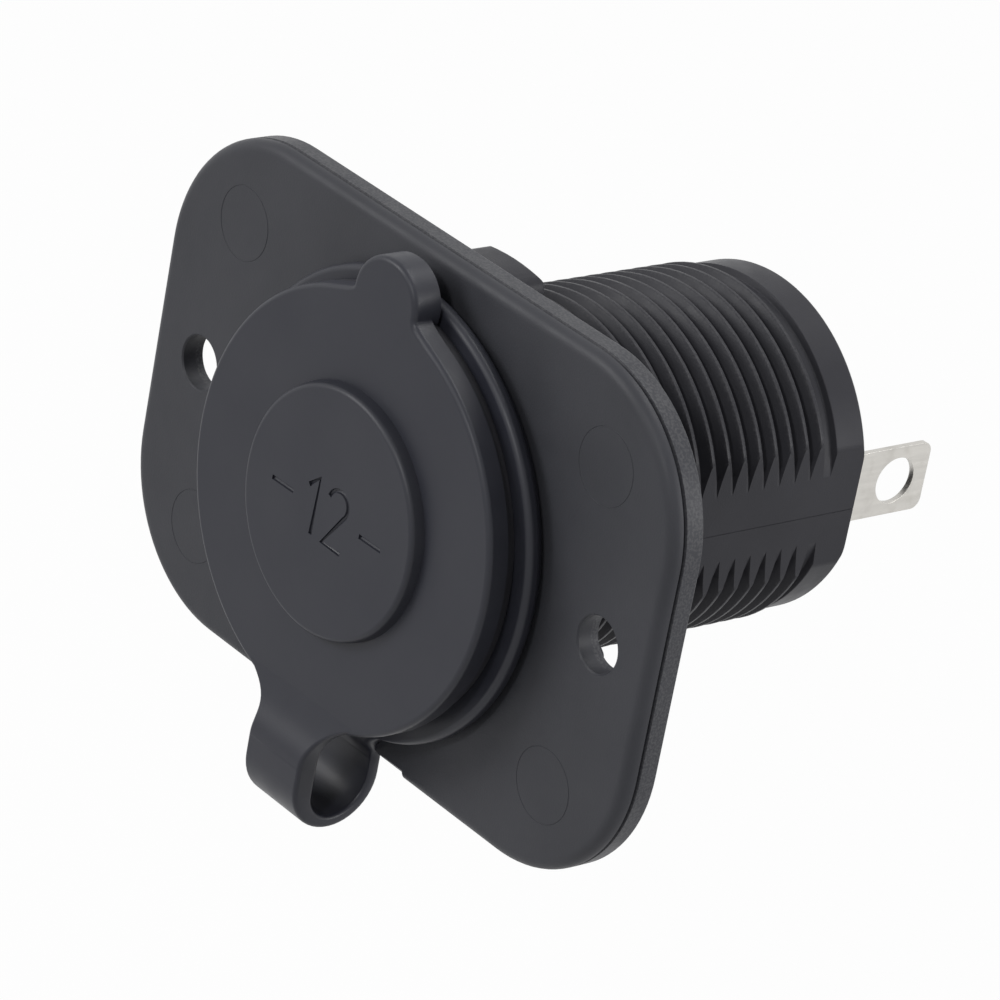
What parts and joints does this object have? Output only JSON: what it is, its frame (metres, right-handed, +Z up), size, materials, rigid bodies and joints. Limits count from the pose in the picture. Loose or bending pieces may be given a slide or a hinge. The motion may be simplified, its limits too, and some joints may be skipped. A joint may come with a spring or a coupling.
{
  "type": "car 12v power socket",
  "caption": "Panel-mounted round 12 V power socket with an oblong face plate, a threaded barrel, a strapped rubber dust cap and two rear blade terminals.",
  "frame": {"origin": "on the socket's axis, at the rear face of the face plate, midway between the two panel screw holes", "axes": "+Y along the barrel from the face plate to the terminals, so the front faces -Y; +Z up, towards the finger tab; +X to the right as seen from the front"},
  "size_m": [0.062, 0.0533, 0.0475],
  "materials": {
    "plate_plastic": "fine-grained matte",
    "housing_plastic": "satin moulded",
    "cap_rubber": "smooth matte",
    "nickel_plate": "satin nickel plating",
    "terminal_nickel": "satin nickel plating",
    "contact_brass": "satin",
    "fibre_board": "matte"
  },
  "bodies": {
    "socket": {"face_plate": "plate_plastic", "socket_housing": "housing_plastic", "ring_nut": "housing_plastic", "strap_ring": "cap_rubber", "contact_shell": "nickel_plate", "insulating_disc": "fibre_board", "insulating_washer": "fibre_board", "centre_contact": "contact_brass", "centre_rivet": "nickel_plate", "positive_terminal": "terminal_nickel", "negative_terminal": "terminal_nickel", "earth_rivet": "nickel_plate"},
    "cap": {"dust_cap": "cap_rubber"}
  },
  "joints": [
    {"name": "cap_hinge", "type": "hinge", "parent": "socket", "child": "cap", "pos_m": [0, -0.0061, -0.0264], "axis": [1, 0, 0], "range_deg": [0, 150]}
  ]
}
